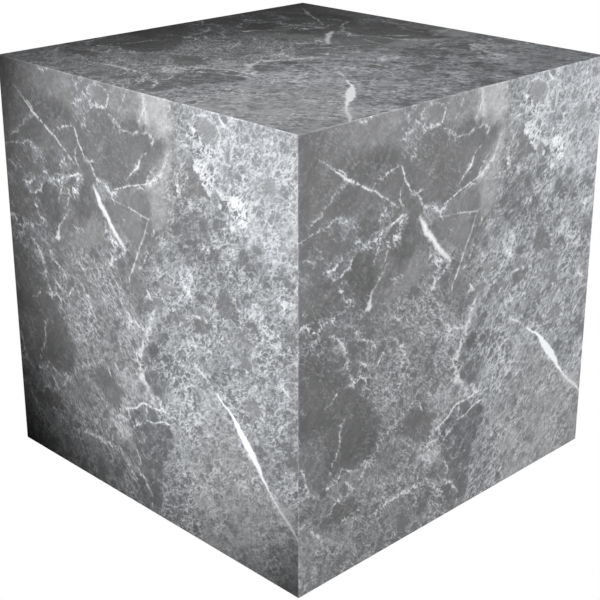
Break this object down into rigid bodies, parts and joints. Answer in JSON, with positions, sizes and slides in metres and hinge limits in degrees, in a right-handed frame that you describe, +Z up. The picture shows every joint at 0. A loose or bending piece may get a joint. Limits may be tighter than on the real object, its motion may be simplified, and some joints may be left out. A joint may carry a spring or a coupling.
{
  "type": "marble block",
  "caption": "Solid cube of grey marble with pale veins, six flat honed faces and eased arrises; stands on any face as a plinth or display block.",
  "frame": {"origin": "middle of the underside", "axes": "+Z up; the four upright faces look along +X, -X, +Y and -Y"},
  "size_m": [0.3, 0.3, 0.3],
  "materials": {
    "grey_marble": "honed grey marble: dark limestone clasts in a pale fine net, crossed by white calcite veins"
  },
  "bodies": {
    "root": {"marble_block": "grey_marble"}
  },
  "joints": []
}
